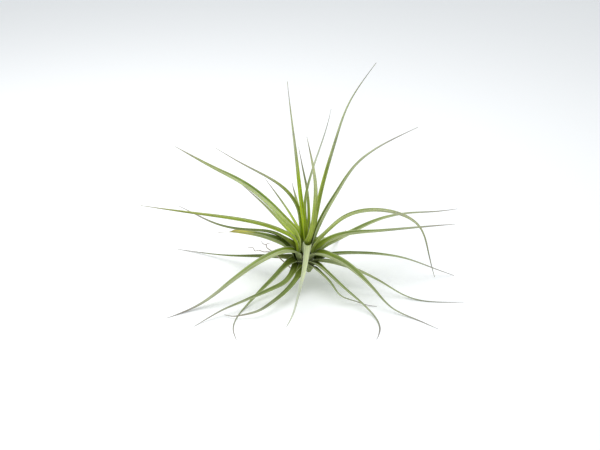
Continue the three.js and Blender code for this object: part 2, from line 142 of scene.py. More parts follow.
# Youngest first
LEAVES: tuple[LeafForm, ...] = (
    leaf(20, 30, 1.15, 0, 0, "heart", FRESH, (2.6, 38), (2.6, 46)),
    leaf(165, 34, 3.9, 0, 0, "heart", FRESH, (3, 46), (5.5, 66), (7, 86), (9.5, 110), (12.5, 142)),
    leaf(-60, 30, 3.2, 0.1, 0, "heart_pale", FRESH, (7.5, 35.5, -0.8), (10, 46.5, 0.6), (12, 61, 0.6),
         (15.5, 78, -1), (19, 95.5, -6), (22, 116.5, -12.5)),
    leaf(90, 33, 1.8, 0, 0, "thin_pale", DRY, (8.3, 42.3, 0.1), (10, 55.5, 1.3), (15, 67.5, -1.6),
         (24, 80.5, -6.5), (32, 96, -13), (38, 111, -17)),
    leaf(0, 33, 4.8, -0.12, -10, "heart_tall", FRESH, (7, 42), (9, 57), (13, 78), (20, 105), (26, 130),
         (43, 155)),
    leaf(90, 30, 2, 0, 0, "thin", DRY, (7.5, 38.5, -2), (12.5, 48.5, -2), (20, 60, -1), (30, 70, 2),
         (42, 82, 5)),
    leaf(140, 31, 3, 0.2, 10, "olive", FRESH, (5, 43, 1), (7, 55), (20, 65), (38, 68.5), (60, 71.5),
         (82, 76.5)),
    leaf(15, 28, 4.9, 0.5, -12, "arching", FRESH, (8, 36), (14, 50), (23, 65), (32, 82), (48, 94),
         (76, 105)),
    leaf(99, 28, 1.9, 0, 0, "thin", DRY, (7, 36), (13, 44, 2), (24, 48, 2), (42, 46, 1), (70, 43, -1)),
    leaf(176, 28, 6.6, -0.35, 12, "banded", FRESH, (6, 35), (14, 43), (27, 59), (43, 73, 0.5), (60, 81),
         (85, 97)),
    leaf(-8, 26, 4.2, -0.35, -12, "sage", DRY, (7, 29), (16, 40), (27, 52), (43, 57), (61, 56), (77, 48),
         (81.5, 27.5), (87, 10)),
    leaf(113, 26, 1.8, 0, 0, "thin", DRY, (8, 32), (20, 36.5), (40, 41), (75, 46.5, 0.5)),
    leaf(-175, 26, 4.6, -0.4, 20, "bright", FRESH, (7, 32), (16, 38), (30, 44.5), (52, 50), (80, 55.5),
         (108, 62)),
    leaf(-95, 25, 3.5, 0.9, 0, "silvery", DRY, (5.5, 30.5, 1), (8.5, 31.5, 1.5), (14, 26, 1),
         (22, 19.5, 0.5), (36, 13.5, -1.5), (56, 8, -3), (73, 9.5, -6)),
    leaf(20, 21, 5.2, 0.8, -10, "arching", DRY, (9, 23), (15, 27), (29, 31), (50, 28.5), (80, 26.5),
         (113, 24)),
    leaf(127, 24, 2.4, 0, 10, "thin", DRY, (8, 28), (18, 29.5, 0.5), (46, 39), (78, 45.5, 0.5)),
    leaf(149, 22, 2.8, -0.3, 10, "shaded", DRY, (8, 24), (17, 27.8), (29, 30.8), (51, 25), (73, 23),
         (91, 27), (107, 30.5)),
    leaf(32, 19, 4.6, 0.7, -10, "arching", DRY, (8, 20), (17, 22.5), (35, 25.5), (59, 31.5), (86, 29.5),
         (110, 23.5), (133, 20.5)),
    leaf(161, 19, 6.4, 0, 16, "dying", WITHERED, (9, 21.5), (15, 24.5), (30, 28.5), (44, 29), (58, 28.5),
         (65, 26)),
    leaf(-152, 22.5, 6.2, 0.4, 20, "arching", DRY, (8, 24.7), (15, 26.2), (27, 25.4), (42, 20), (58, 12.5),
         (76, 0.5, -2), (102, 0)),
    leaf(-36, 21, 6, 0.85, -16, "arching", DRY, (8, 24), (16, 24.5, -0.5), (29, 24), (43, 18.5), (56, 11),
         (68.5, 2, -1), (84, 0, 2), (103, 0)),
    leaf(68, 17, 3.8, 0.7, 0, "lower", DRY, (9, 20.5), (18, 22), (32, 18), (46, 8), (60, 0), (82, 0)),
    leaf(87, 15.5, 3.8, 0.7, 0, "lower", DRY, (9, 18), (18, 18.5), (32, 17), (48, 9), (64, 0), (89, 0)),
    leaf(4, 15, 3.4, 0.5, -10, "lower", DRY, (9, 17), (18, 20), (40, 20), (66, 16.5), (84, 8), (103, 0)),
    leaf(-38, 16, 4.6, 0.9, -8, "lower", DRY, (8, 17.5, 1), (16, 18, 4.5), (32, 15, 11.5), (49, 9, 18),
         (64.5, 1, 22), (80, 0, 26), (99.5, 0, 42)),
    leaf(106, 14.5, 3.8, 0.7, 0, "lower", DRY, (9, 16), (18, 16), (31, 12.5), (44, 5), (56, 0), (76, 0)),
    leaf(-140, 17, 3.6, 0.7, 8, "lower", DRY, (9, 19.5), (18, 18.5, 0.5), (27, 12.5, 0.5), (35, 7, -1.5),
         (51, 0), (64, 0, 6.5), (75, 0, 16), (80, 0, 28)),
    leaf(-64, 16.5, 3.2, 0.6, -8, "lower", DRY, (8, 18, 0.5), (16.5, 19.5, 2), (34, 11.5, 8.5),
         (49, 5.5, 15.5), (61, 0, 20), (75, 0, 16), (84, 0, 7.5)),
    leaf(-72, 15.5, 2.6, 0.5, 0, "lower", DRY, (8, 16.5, 0.5), (17.5, 17, 2), (30, 14, 7.5),
         (37.5, 6.5, 10), (38, 2, 21.5), (44, 1, 26.5), (46, 0, 34)),
    leaf(154, 13, 4, 0.7, 8, "shaded", DRY, (9, 15), (18, 13.5), (36, 10), (58, 5), (80, 1, -2), (104, 0)),
    leaf(-125, 15.5, 3.1, 0.1, 8, "lower", DRY, (8, 17.5), (15, 15, 1), (25, 11, 2), (33, 10, -1),
         (42, 8, -6), (49, 7, -9.5), (58, 5.5, -14), (67, 4.5, -18.5), (78, 1, -23.5), (88, 0, -25.5)),
    leaf(-113, 14.5, 2.6, 0.1, 6, "lower", DRY, (8, 16, 1), (14, 14, 1), (20, 10), (33.5, 7, -2.5),
         (45, 6, -6), (55, 4.5, -9.5), (60, 2.5, -19), (63.5, 2, -24), (62, 1, -31)),
)
# How much narrower the outer part of these leaves is, by number
SLENDER: dict[int, float] = {8: 0.15, 14: 0.2, 21: 0.55, 25: 0.3, 27: 0.5, 29: 0.3, 30: 0.4, 31: 0.2}

# Number of the last leaf of an age
LAST_HEART_LEAF = 7
LAST_ARCHING_LEAF = 21

# Seeds of what varies. A leaf's number is added to the first two, and a root strand's to the last.
TONE_SEED = 400
WAVE_SEED = 700
STEM_SEED = 11
ROOT_SEED = 900


@dataclass(frozen=True)
class Nest:
    """Sheaths round the stem, and the stem that they are rooted on, in millimetres.

    Attributes:
        stem_bottom: Height of the stem's foot.
        stem_top: Height of the growing point.
        stem_tip_radius: Radius at the growing point.
        stem_slope: Widening of the stem per millimetre downwards.
        clearance: Room between one sheath and the next.
        thickness: Thickness of a sheath.
        half_width: Half width of a sheath round the stem.
        most_wrap: Largest half angle that a sheath takes.
        least_length: Least height from a sheath's root to its mouth.
        passing: How far above a mouth a root still meets the leaf.
        margin_angle: Room beside a sheath in radians.
        lean: How steeply the nest draws in.
        lean_top: Height at which it starts to.
        lean_softness: Height over which it starts to.
    """

    stem_bottom: float = 9.5
    stem_top: float = 26.0
    stem_tip_radius: float = 0.6
    stem_slope: float = 0.66
    clearance: float = 0.46
    thickness: float = 0.62
    half_width: float = 2.4
    most_wrap: float = 1.2
    least_length: float = 2.0
    passing: float = 0.5
    margin_angle: float = 0.04
    lean: float = 0.42
    lean_top: float = 22.0
    lean_softness: float = 3.0

    @property
    def lap(self) -> float:
        """Distance from one sheath's outer face to the next one's."""
        return self.thickness + self.clearance

    def wrap(self, radius: float) -> float:
        """Half of the angle round the stem that a sheath takes."""
        return min(self.half_width / radius, self.most_wrap)

    def inset(self, height: Any) -> Any:
        """How far the nest is drawn in at a height."""
        below = self.lean_top - height
        return self.lean * (below + np.hypot(below, self.lean_softness)) / 2

    def rooted_at(self, height: float) -> float:
        """Radius of the sheath that is rooted at a height."""
        return self.stem_tip_radius + (self.stem_top - height) * self.stem_slope + self.lap

    def root_height(self, radius: float) -> float:
        """Height at which a sheath of a radius is rooted."""
        return self.stem_top - (radius - self.lap - self.stem_tip_radius) / self.stem_slope

    def stem_radius(self, height: Any) -> Any:
        """Radius of the stem at a height."""
        return self.rooted_at(height) - self.lap - self.inset(height)

    def seat(self, forms: tuple[LeafForm, ...]) -> list[float]:
        """Finds each sheath's radius, as close to the stem as the younger sheaths inside it allow.

        Args:
            forms: The leaves, youngest first.

        Returns:
            One radius for each leaf.
        """
        seated: list[tuple[LeafForm, float]] = []
        for form in forms:
            radius = max(self.rooted_at(form.mouth - self.least_length), self.rooted_at(self.stem_top))
            beside = [(self.between(form.heading, inner.heading), r) for inner, r in seated
                      if self.root_height(r) < form.mouth + self.passing]
            while True:
                half = self.wrap(radius) + self.margin_angle
                blocking = [r for turn, r in beside if turn < half + self.wrap(r) and radius < r + self.lap]
                if not blocking:
                    break
                radius = blocking[0] + self.lap
            seated.append((form, radius))
        return [radius for _, radius in seated]

    @staticmethod
    def between(a: float, b: float) -> float:
        """Angle between two headings in radians."""
        turn = abs(a - b) % 360
        return math.radians(min(turn, 360 - turn))


@dataclass
class Stations:
    """Places along a leaf's line.

    Attributes:
        point: Points of the underside's midline.
        along: Directions.
        up: Directions towards the upper face, carried along without twist.
        travelled: Distance from the root.
    """

    point: Array
    along: Array
    up: Array
    travelled: Array


@dataclass(frozen=True)
class LeafLine:
    """Smooth line that starts and ends on its first and last point and is drawn to those between them.

    Attributes:
        points: The points.
        samples: Places at equal distances that stations are picked from.
        fine_samples: Points that stand for the line itself.
        bend_weight: Length that a bend of one radian counts for where stations are spread.
    """

    points: Array
    samples: int = 241
    fine_samples: int = 2400
    bend_weight: float = 9.0

    def curve(self) -> Array:
        """Draws the line as a uniform cubic B-spline.

        Returns:
            Points close together along it.
        """
        before, after = 2 * self.points[0] - self.points[1], 2 * self.points[-1] - self.points[-2]
        hull = np.vstack([before, self.points, after])
        spans = len(hull) - 3
        t = np.linspace(0, spans, self.fine_samples)
        span = np.minimum(t.astype(int), spans - 1)
        f = (t - span)[:, None]
        pulls = ((1 - f) ** 3, 3 * f ** 3 - 6 * f ** 2 + 4, -3 * f ** 3 + 3 * f ** 2 + 3 * f + 1, f ** 3)
        return sum(pull / 6 * hull[span + i] for i, pull in enumerate(pulls))

    def evenly(self, count: int) -> Array:
        """Finds places at equal distances along the line.

        Args:
            count: How many.

        Returns:
            Their points.
        """
        curve = self.curve()
        run = np.concatenate([[0], np.cumsum(np.linalg.norm(np.diff(curve, axis=0), axis=1))])
        wanted = np.linspace(0, run[-1], count)
        return np.stack([np.interp(wanted, run, curve[:, k]) for k in range(3)], axis=1)

    def stations(self, count: int) -> Stations:
        """Finds places at equal steps of length and bending together, with frames that don't twist.

        Args:
            count: How many.

        Returns:
            The places.
        """
        points = self.evenly(self.samples)
        ahead = np.vstack([points[1:], points[-1:]])
        behind = np.vstack([points[:1], points[:-1]])
        along = ahead - behind
        along /= np.linalg.norm(along, axis=1)[:, None]
        up = np.zeros_like(along)
        carried = np.array([-1.0, 0.0, 0.0])
        for i, direction in enumerate(along):
            carried = carried - direction * (carried @ direction)
            carried = carried / np.linalg.norm(carried)
            up[i] = carried
        steps = np.linalg.norm(np.diff(points, axis=0), axis=1)
        bends = np.arccos(np.clip((along[1:] * along[:-1]).sum(1), -1, 1))
        travelled = np.concatenate([[0], np.cumsum(steps)])
        measure = np.concatenate([[0], np.cumsum(steps + self.bend_weight * bends)])
        wanted = np.linspace(0, measure[-1], count)

        def picked(values: Array) -> Array:
            """Values at the wanted places."""
            return np.stack([np.interp(wanted, measure, values[:, k]) for k in range(3)], axis=1)

        def unit(values: Array) -> Array:
            """Directions of length 1."""
            return values / np.linalg.norm(values, axis=1)[:, None]

        distance = np.interp(wanted, measure, travelled)
        return Stations(picked(points), unit(picked(along)), unit(picked(up)), distance)


@dataclass(frozen=True)
class Marks:
    """Values on a mesh's points that its material reads, by attribute name."""

    values: dict[str, Array]

    def write(self, mesh: bpy.types.Mesh) -> None:
        """Adds the attributes.

        Args:
            mesh: The mesh that gets them.
        """
        for name, values in self.values.items():
            layer = mesh.attributes.new(name, "FLOAT", "POINT")
            layer.data.foreach_set("value", np.ascontiguousarray(values, dtype=np.float32).ravel())


def make_piece(name: str, points: Array, faces: list[tuple[int, ...]], material: bpy.types.Material,
               marks: Marks = Marks({})) -> bpy.types.Object:
    """Makes a smooth mesh object from points in metres.

    Args:
        name: Name of the piece.
        points: Places of its points.
        faces: Point numbers of each face, outward side counter-clockwise.
        material: The finish.
        marks: Values that the finish reads.

    Returns:
        The object, in the scene.
    """
    mesh = bpy.data.meshes.new(name)
    mesh.from_pydata(points.tolist(), [], faces)
    mesh.polygons.foreach_set("use_smooth", [True] * len(mesh.polygons))
    marks.write(mesh)
    mesh.materials.append(material)
    mesh.update()
    piece = bpy.data.objects.new(name, mesh)
    bpy.context.scene.collection.objects.link(piece)
    return piece


def ring_faces(rings: int, size: int) -> list[tuple[int, ...]]:
    """Lists the faces between rings of points, closed by one point at each end.

    Args:
        rings: How many rings.
        size: Points in a ring. The two end points come after all rings.

    Returns:
        Point numbers of each face.
    """
    faces: list[tuple[int, ...]] = []
    for ring in range(rings - 1):
        low, high = ring * size, (ring + 1) * size
        for k in range(size):
            after = (k + 1) % size
            faces.append((low + k, low + after, high + after, high + k))
    first, last, top = rings * size, rings * size + 1, (rings - 1) * size
    for k in range(size):
        after = (k + 1) % size
        faces.append((first, after, k))
        faces.append((last, top + k, top + after))
    return faces


@dataclass(frozen=True)
class Taper:
    """How a blade narrows, by shares of its width and of its length.

    Attributes:
        late_power: How late a blade of lean 0 narrows: less is later.
        soon_loss: What a blade of lean 1 loses soon.
        soon_reach: Over how much of its length.
        soon_power: How late it loses the rest: more is later.
        slender_span: Where the outer part of a slender leaf begins and where it is full.
        withered_loss: What a withered leaf loses before its end.
        withered_span: Where it starts and stops losing that.
        withered_end: Where its end begins and where only a thread is left.
        thread: Width of the thread.
    """

    late_power: float = 1.3
    soon_loss: float = 0.68
    soon_reach: float = 0.36
    soon_power: int = 6
    slender_span: tuple[float, float] = (0.3, 0.7)
    withered_loss: float = 0.5
    withered_span: tuple[float, float] = (0.15, 0.82)
    withered_end: tuple[float, float] = (0.79, 0.85)
    thread: float = 0.02

    def withered(self, blade: Array) -> Array:
        """Width of a leaf that has died back."""
        blunt = 1 - self.withered_loss * smooth(blade, *self.withered_span)
        return blunt * (1 - smooth(blade, *self.withered_end)) + self.thread

    def sound(self, blade: Array, lean: float, slender: float) -> Array:
        """Finds the width of a leaf that is alive to its tip.

        Args:
            blade: Places along it from 0 to 1.
            lean: How soon it narrows.
            slender: How much narrower its outer part is.

        Returns:
            Shares of the full width.
        """
        late = (1 - blade ** 2) ** (self.late_power + min(lean, 0))
        rest = (1 - self.soon_loss) * (1 - blade ** self.soon_power)
        soon = self.soon_loss * np.exp(-(blade / self.soon_reach) ** 2) + rest
        return lerp(late, soon, max(lean, 0)) * (1 - slender * smooth(blade, *self.slender_span))


@dataclass(frozen=True)
class Weather:
    """Waves of a leaf's margins and kinks of a dry tip, in millimetres.

    Attributes:
        wave_periods: Lengths of the waves.
        young_wave: Their height on the youngest leaf.
        more_wave: How much higher they are on the oldest.
        full_width: Half width from which the waves have their full height.
        wave_start: Distances from the root over which they begin.
        margin_power: How close to the margins they keep.
        calm_side: Share of them that the right margin takes.
        kink_periods: Lengths of the kinks.
        kink_size: How far they reach.
        kink_start: Shares of the length over which they begin.
    """

    wave_periods: tuple[float, float, float] = (3.1, 5.3, 9.7)
    young_wave: float = 0.04
    more_wave: float = 0.14
    full_width: float = 3.0
    wave_start: tuple[float, float] = (10.0, 24.0)
    margin_power: int = 3
    calm_side: float = 0.35
    kink_periods: tuple[float, float, float] = (1.7, 2.9, 4.4)
    kink_size: float = 0.16
    kink_start: tuple[float, float] = (0.8, 0.97)

    @staticmethod
    def ripple(travelled: Array, periods: tuple[float, ...], phases: Array) -> Array:
        """Sum of sine waves along a leaf, from -1 to 1."""
        waves = (np.sin(travelled / period + phase) for period, phase in zip(periods, phases))
        return sum(waves) / len(periods)

    def wave(self, travelled: Array, half: Array, age: float, phases: Array) -> Array:
        """Finds the height of the margins' waves.

        Args:
            travelled: Distances from the root.
            half: Half widths.
            age: 0 for the youngest leaf and 1 for the oldest.
            phases: Where the waves begin.

        Returns:
            Heights at the left margin.
        """
        begun = smooth(travelled, *self.wave_start)
        height = (self.young_wave + self.more_wave * age) * np.minimum(half / self.full_width, 1) * begun
        return height * self.ripple(travelled, self.wave_periods, phases)

    def kink(self, travelled: Array, phases: Array) -> Array:
        """How far a dry tip is bent to the side."""
        size = self.kink_size * smooth(travelled / travelled[-1], *self.kink_start)
        return size * self.ripple(travelled, self.kink_periods, phases)


@dataclass
class Leaf:
    """One leaf: a sheath round the stem and a channelled blade.

    Attributes:
        number: Its place in the rosette from the youngest, from 1.
        form: Its form.
        nest: The nest that it is rooted in.
        radius: Its sheath's radius.
        axis: The stem's axis in metres.
        lanes: Steps across each face.
        rows: Steps along it.
        taper: How its blade narrows.
        weather: Its waves and kinks.
        blade_thickness: Thickness of the blade.
        tip_thickness: Thickness at the end.
        thinning: Shares of the length over which the blade gets that thin.
        withered_thinning: How much thinner a withered end is.
        withered_thins: Shares of the length over which it gets that thin.
        rounding: Powers that round the section off at the margins.
        tip_half: Half width at the end.
        young_fold: Half angle of a young blade's channel in radians.
        old_fold: The same of the oldest blade.
        tip_fold: The same at the end.
        widening: Length over which the sheath turns into the blade.
        rolling: Length over which the blade takes its roll.
        clasp: Half width at the sheath's mouth as a share of the blade's.
        least_clasp: Least half width at the sheath's mouth.
        most_clasp: Largest half width there as a share of the blade's.
        floor_press: How far leaves that lie down are pressed into the surface.
    """

    number: int
    form: LeafForm
    nest: Nest
    radius: float
    axis: tuple[float, float]
    lanes: int = 14
    rows: int = 130
    taper: Taper = Taper()
    weather: Weather = Weather()
    blade_thickness: float = 0.7
    tip_thickness: float = 0.34
    thinning: tuple[float, float] = (0.3, 1.0)
    withered_thinning: float = 0.3
    withered_thins: tuple[float, float] = (0.7, 0.85)
    rounding: tuple[float, float] = (2.6, 0.62)
    tip_half: float = 0.24
    young_fold: float = 1.42
    old_fold: float = 1.2
    tip_fold: float = 0.8
    widening: float = 14.0
    rolling: float = 14.0
    clasp: float = 0.9
    least_clasp: float = 5.2
    most_clasp: float = 1.5
    floor_press: float = 0.15

    @property
    def name(self) -> str:
        """Name of the CAD node that the leaf replaces."""
        return f"leaf_{self.number:02d}"

    @property
    def age(self) -> Age:
        """Where it stands in the rosette."""
        outer = Age.ARCHING if self.number <= LAST_ARCHING_LEAF else Age.LOWER
        return Age.HEART if self.number <= LAST_HEART_LEAF else outer

    @property
    def years(self) -> float:
        """Its age, from 0 for the youngest leaf to 1 for the oldest."""
        return (self.number - 1) / (len(LEAVES) - 1)

    @property
    def sheath_length(self) -> float:
        """Height from its root to the mouth of the nest."""
        return self.form.mouth - self.nest.root_height(self.radius)

    def line(self) -> LeafLine:
        """Draws its line in its own frame: reach along X, sway along Y.

        Returns:
            The line of the underside, from the root to the tip.
        """
        root = self.nest.root_height(self.radius)
        heights = (root, (root + self.form.mouth) / 2, self.form.mouth)
        sheath = [(self.radius - self.nest.inset(height), 0.0, height) for height in heights]
        blade = [(p[0], p[2] if len(p) > 2 else 0.0, p[1]) for p in self.form.blade]
        return LeafLine(np.array(sheath + blade, dtype=float))

    def width_along(self, blade: Array) -> Array:
        """Finds how the blade narrows.

        Args:
            blade: Places along it from 0 to 1.

        Returns:
            Shares of the full width.
        """
        if self.form.tip is Tip.WITHERED:
            return self.taper.withered(blade)
        return self.taper.sound(blade, self.form.lean, SLENDER.get(self.number, 0.0))

    def sections(self, travelled: Array) -> tuple[Array, Array, Array]:
        """Half width, fold and thickness along the leaf.

        Args:
            travelled: Distances from its root.

        Returns:
            The three, one value for each distance.
        """
        sheath, width = self.sheath_length, self.form.width
        blade = np.clip((travelled - sheath) / (travelled[-1] - sheath), 0, 1)
        opened = smooth(travelled - sheath, 0, self.widening)
        round_stem = self.radius - self.nest.inset(self.form.mouth - np.maximum(sheath - travelled, 0))
        rooted = self.nest.wrap(self.radius) * round_stem
        mouth_half = max(self.clasp * width, min(self.least_clasp, self.most_clasp * width))
        clasping = lerp(rooted, np.maximum(rooted, mouth_half), smooth(travelled, 0, sheath))
        clasping = np.minimum(clasping, self.young_fold * round_stem)
        half = lerp(clasping, lerp(self.tip_half, width, self.width_along(blade)), opened)
        open_fold = lerp(lerp(self.young_fold, self.old_fold, self.years), self.tip_fold, blade ** 2)
        fold = lerp(clasping / round_stem, open_fold, opened)
        blade_thickness = lerp(self.blade_thickness, self.tip_thickness, smooth(blade, *self.thinning))
        if self.form.tip is Tip.WITHERED:
            thinner = self.withered_thinning * smooth(blade, *self.withered_thins)
            blade_thickness = blade_thickness * (1 - thinner)
        return half, fold, lerp(self.nest.thickness, blade_thickness, opened)

    def skin(self) -> tuple[Array, Marks]:
        """Draws the closed skin of the leaf, ring by ring.

        Returns:
            Its points, and the values that the finish reads.
        """
        at = self.line().stations(self.rows)
        half, fold, thickness = self.sections(at.travelled)
        lanes = self.lanes
        share = np.concatenate([np.linspace(-1, 1, lanes + 1), np.linspace(1, -1, lanes + 1)[1:-1]])
        upper = np.concatenate([np.zeros(lanes + 1), np.ones(lanes - 1)])
        bulge, bluntness = self.rounding
        rounded = (1 - np.abs(share) ** bulge) ** bluntness
        lift = thickness[:, None] * (0.5 + (upper - 0.5) * rounded[None, :])
        angle = fold[:, None] * share[None, :]
        radius = (half / fold)[:, None]
        side, up = self.rolled(at)
        out = (radius - lift) * np.sin(angle)
        rise = radius - (radius - lift) * np.cos(angle)
        out, rise = self.weathered(out, rise, share, at.travelled, half)
        points = at.point[:, None, :] + side[:, None, :] * out[..., None] + up[:, None, :] * rise[..., None]
        rows, ring = out.shape
        face = np.where(np.abs(share) == 1, 0.5, upper)
        marks = {
            "across": np.tile(share, (rows, 1)),
            "face": np.tile(face, (rows, 1)),
            "span": share[None, :] * half[:, None],
            "run": np.tile(at.travelled[:, None], (1, ring)),
            "along": np.tile(at.travelled[:, None] / at.travelled[-1], (1, ring)),
        }
        ends = {name: np.array([values[0].mean(), values[-1].mean()]) for name, values in marks.items()}
        marks = {name: np.concatenate([values.ravel(), ends[name]]) for name, values in marks.items()}
        marks["tone"] = np.full(rows * ring + 2, self.tone)
        flat = np.vstack([points.reshape(-1, 3), points[0].mean(0), points[-1].mean(0)])
        return flat, Marks(marks)

    def rolled(self, at: Stations) -> tuple[Array, Array]:
        """Turns the leaf about its line by its roll.

        Args:
            at: The places along it.

        Returns:
            Directions across it and towards its upper face.
        """
        roll = math.radians(self.form.roll) * smooth(at.travelled - self.sheath_length, 0, self.rolling)
        cos, sin = np.cos(roll)[:, None], np.sin(roll)[:, None]
        side = np.cross(at.along, at.up)
        return side * cos - at.up * sin, at.up * cos + side * sin

    @property
    def tone(self) -> float:
        """The leaf's own shift in tone, from -1 to 1."""
        return float(np.random.default_rng(TONE_SEED + self.number).uniform(-1, 1))

    def weathered(self, out: Array, rise: Array, share: Array, travelled: Array,
                  half: Array) -> tuple[Array, Array]:
        """Gives the margins their slight wave and a dry tip its kinks.

        Args:
            out: Places across the leaf.
            rise: Heights above the underside's midline.
            share: Place of each lane across from -1 to 1.
            travelled: Distances from the root.
            half: Half widths.

        Returns:
            Both, moved a little.
        """
        phases = np.random.default_rng(WAVE_SEED + self.number).uniform(0, 2 * math.pi, 6)
        wave = self.weather.wave(travelled, half, self.years, phases[:3])
        taken = np.abs(share) ** self.weather.margin_power * np.where(share < 0, 1.0, self.weather.calm_side)
        rise = rise + wave[:, None] * taken[None, :]
        if self.form.tip is not Tip.FRESH:
            out = out + self.weather.kink(travelled, phases[3:])[:, None]
        return out, rise

    def build(self, material: bpy.types.Material) -> bpy.types.Object:
        """Makes the leaf and puts it in the place of its CAD node.

        Args:
            material: Its finish.

        Returns:
            The piece.
        """
        points, marks = self.skin()
        turn = math.radians(self.form.heading)
        x = points[:, 0] * math.cos(turn) - points[:, 1] * math.sin(turn)
        y = points[:, 0] * math.sin(turn) + points[:, 1] * math.cos(turn)
        z = np.maximum(points[:, 2] - self.floor_press, 0)
        placed = np.stack([x, y, z], axis=1) * MM + np.array([self.axis[0], self.axis[1], 0.0])
        faces = ring_faces(self.rows, 2 * self.lanes)
        piece = make_piece(f"{self.name}_blade", placed, faces, material, marks)
        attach(piece, "root")
        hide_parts(self.name)
        return piece


@dataclass
class Stem:
    """The short stem (caudex) that all leaves grow from, with the scars of lost leaves.

    Attributes:
        nest: The nest round it.
        axis: Its axis in metres.
        outermost: Radius of the outermost sheath.
        foot_narrowing: Share of its radius that is left at the foot.
        foot_height: How far the foot reaches above the outermost sheath's root.
        foot_passing: How far its narrowing runs on below it and above it.
        crown: Height of the growing point above the stem's top.
        least_radius: Least radius of the foot.
        sides: Points round it.
        rings: Rings up it.
        foot_rings: How many of them the foot has.
        roughness: Spread of its small bumps.
        scar_depth: How far the leaf scars sink into the stem.
        scar_spacing: Height between them.
        scar_tilt: How far the scars rise and fall round the stem.
        scar_lobes: How often they do.
    """

    nest: Nest
    axis: tuple[float, float]
    outermost: float
    foot_narrowing: float = 0.1
    foot_height: float = 1.3
    foot_passing: tuple[float, float] = (0.1, 0.05)
    crown: float = 0.3
    least_radius: float = 0.2
    sides: int = 56
    rings: int = 60
    foot_rings: int = 8
    roughness: float = 0.03
    scar_depth: float = 0.1
    scar_spacing: float = 1.15
    scar_tilt: float = 0.35
    scar_lobes: tuple[int, int, int] = (3, 5, 8)

    def scars(self, heights: Array, angle: Array) -> Array:
        """Finds how much the scars and the small bumps take off the stem.

        Args:
            heights: Heights of the rings.
            angle: Angles of the points of a ring.

        Returns:
            Depths, ring by ring.
        """
        draw = np.random.default_rng(STEM_SEED)
        rough = draw.normal(0, self.roughness, (len(heights), self.sides))
        phases = draw.uniform(0, 6, len(self.scar_lobes))
        lobes = sum(np.sin(k * angle + phase) for k, phase in zip(self.scar_lobes, phases)) / len(phases)
        level = (heights[:, None] + self.scar_tilt * lobes[None, :]) / self.scar_spacing
        return self.scar_depth * (1 - np.abs(np.sin(math.pi * level))) ** 2 + np.abs(rough)

    def build(self, material: bpy.types.Material) -> bpy.types.Object:
        """Makes the stem and puts it in the place of its CAD node.

        Args:
            material: Its finish.

        Returns:
            The piece.
        """
        bottom, top = self.nest.stem_bottom, self.nest.stem_top
        lowest = self.nest.root_height(self.outermost) + self.foot_height
        heights = np.concatenate([np.linspace(bottom, lowest, self.foot_rings),
                                  np.linspace(lowest, top, self.rings - self.foot_rings)])
        full = self.nest.stem_radius(np.maximum(heights, lowest))
        below, above = self.foot_passing
        foot = lerp(self.foot_narrowing, 1.0, smooth(heights, bottom - below, lowest + above))
        angle = np.linspace(0, 2 * math.pi, self.sides, endpoint=False)
        radius = full[:, None] * foot[:, None] - self.scars(heights, angle)
        radius = np.maximum(radius, self.least_radius)
        z = np.repeat(heights[:, None], self.sides, axis=1)
        points = np.stack([radius * np.cos(angle), radius * np.sin(angle), z], axis=2).reshape(-1, 3)
        ends = [(0, 0, bottom), (0, 0, top + self.crown)]
        placed = np.vstack([points, ends]) * MM + np.array([self.axis[0], self.axis[1], 0.0])
        piece = make_piece("stem_bark", placed, ring_faces(len(heights), self.sides), material)
        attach(piece, "root")
        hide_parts("stem")
        return piece


